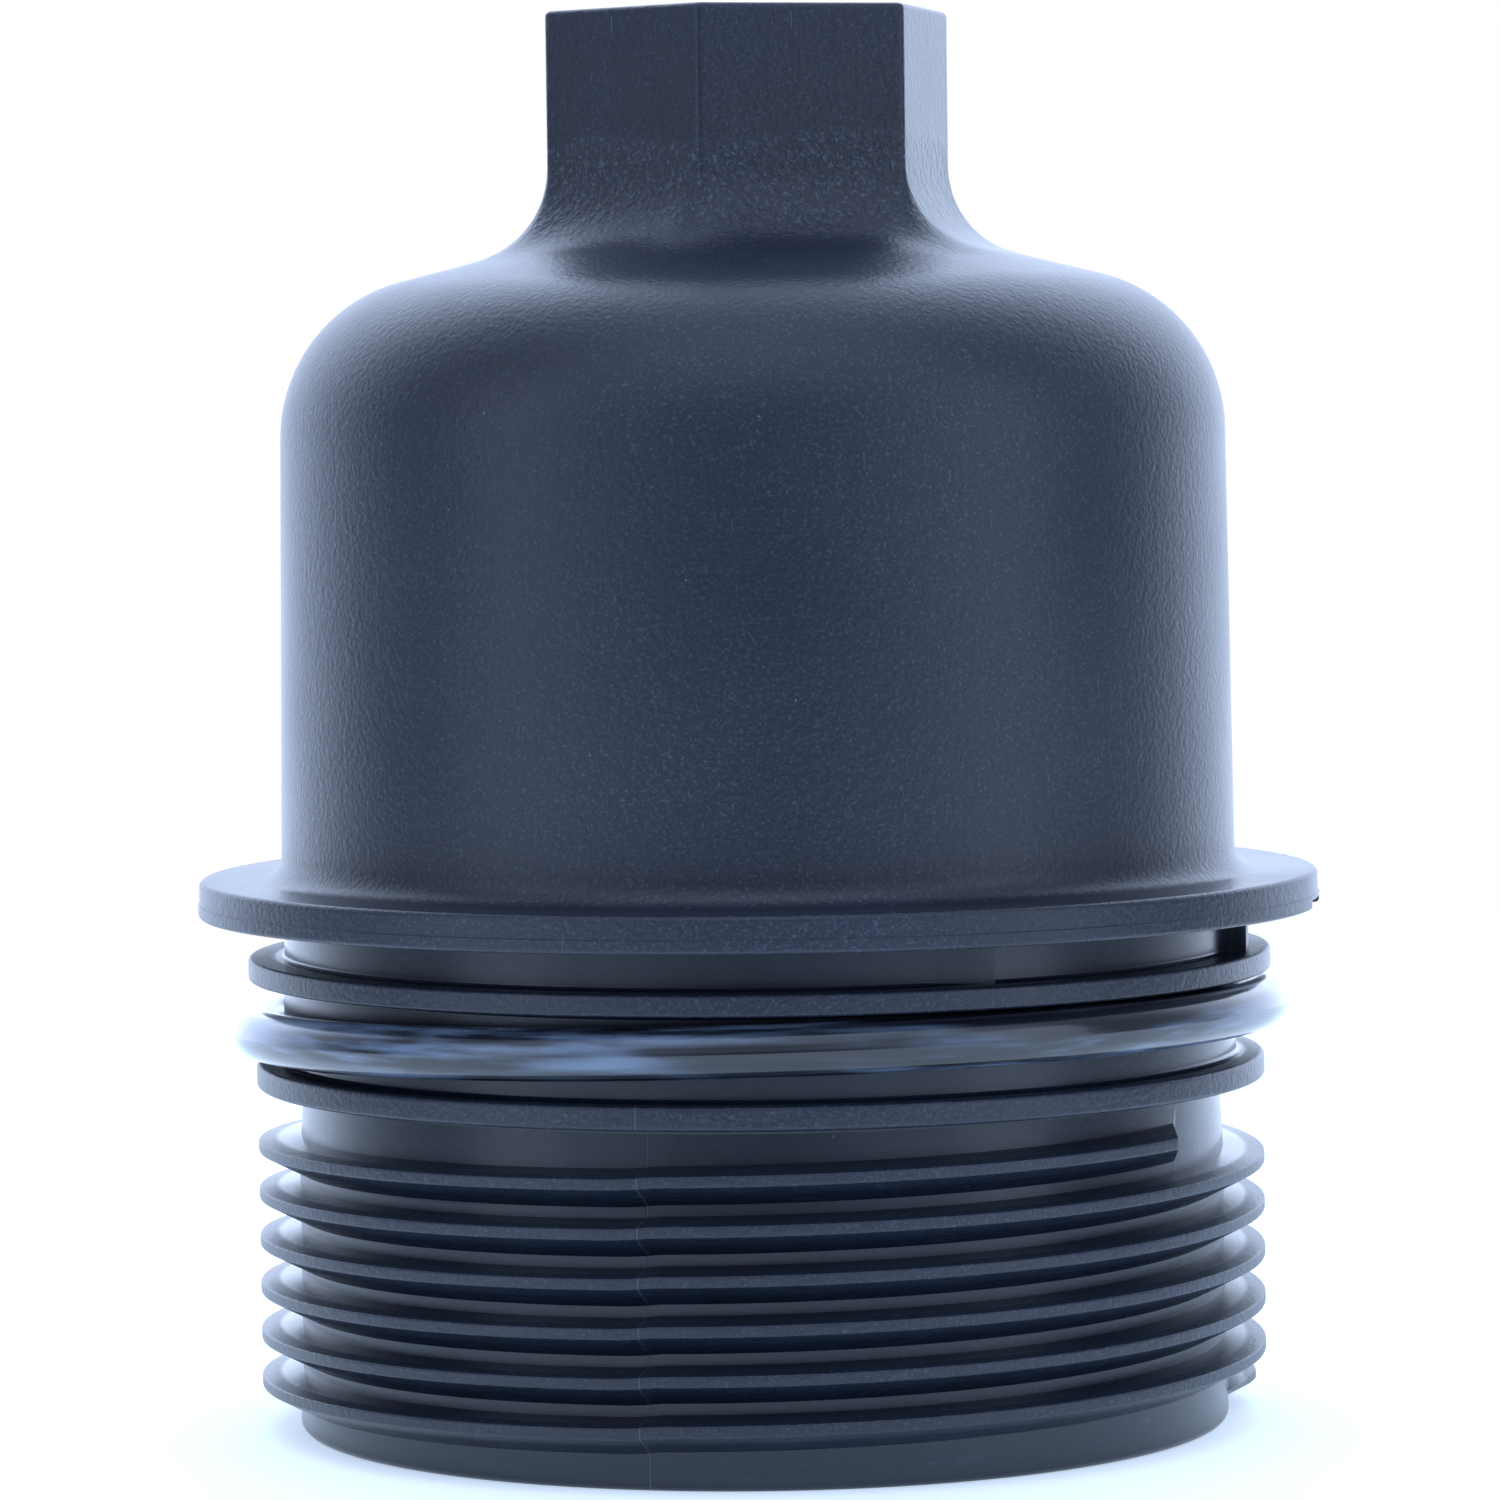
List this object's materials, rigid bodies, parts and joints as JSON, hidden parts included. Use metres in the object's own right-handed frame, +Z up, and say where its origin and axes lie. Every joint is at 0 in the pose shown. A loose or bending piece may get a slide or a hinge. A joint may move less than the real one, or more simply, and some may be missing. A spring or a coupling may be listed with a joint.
{
  "type": "oil filter cap with cartridge",
  "caption": "Threaded screw cap of a cartridge oil filter: hex drive, domed barrel, flange, seal groove with ring, thread, inner cage with bypass valve and pleated cartridge.",
  "frame": {"origin": "centre of the cap's lower rim, on the plane the part stands on", "axes": "+Z up along the cap's axis towards the hex drive, -Y towards the viewer, +X to the right"},
  "size_m": [0.0834, 0.0834, 0.105],
  "materials": {
    "cap_plastic": "moulded glass-filled nylon with a fine spark-eroded grain",
    "seal_rubber": "smooth black rubber with a faint bloom",
    "cage_plastic": "moulded black nylon",
    "plate_plastic": "moulded dark grey nylon",
    "spring_steel": "drawn spring wire",
    "valve_steel": "pressed zinc-plated steel",
    "filter_paper": "resin-treated pleated filter paper",
    "glue": "set hot-melt adhesive"
  },
  "bodies": {
    "cap": {"cap_shell": "cap_plastic", "cap_sealing_ring": "seal_rubber"},
    "cage": {"clip_collar": "cage_plastic", "cage_tube": "cage_plastic", "spring_seat": "cage_plastic"},
    "valve": {"valve_plate": "valve_steel", "valve_seal": "seal_rubber", "valve_spring": "spring_steel"},
    "cartridge": {"upper_end_plate": "plate_plastic", "lower_end_plate": "plate_plastic", "upper_seal": "seal_rubber", "lower_seal": "seal_rubber", "filter_medium": "filter_paper", "medium_seam": "glue", "upper_glue_bed": "glue", "lower_glue_bed": "glue", "upper_pleat_bead": "glue", "middle_pleat_bead": "glue", "lower_pleat_bead": "glue"}
  },
  "joints": [
    {"name": "cage_spin", "type": "hinge", "parent": "cap", "child": "cage", "pos_m": [0, 0, 0.0782], "axis": [0, 0, 1], "continuous": true},
    {"name": "valve_slide", "type": "slide", "parent": "cage", "child": "valve", "axis": [0, 0, -1], "range_m": [0, 0.005], "stiffness_N_per_m": 2000, "springref_m": -0.012, "deforming": ["valve_spring"]},
    {"name": "cartridge_pull", "type": "slide", "parent": "cage", "child": "cartridge", "axis": [0, 0, -1], "range_m": [0, 0.095]}
  ]
}
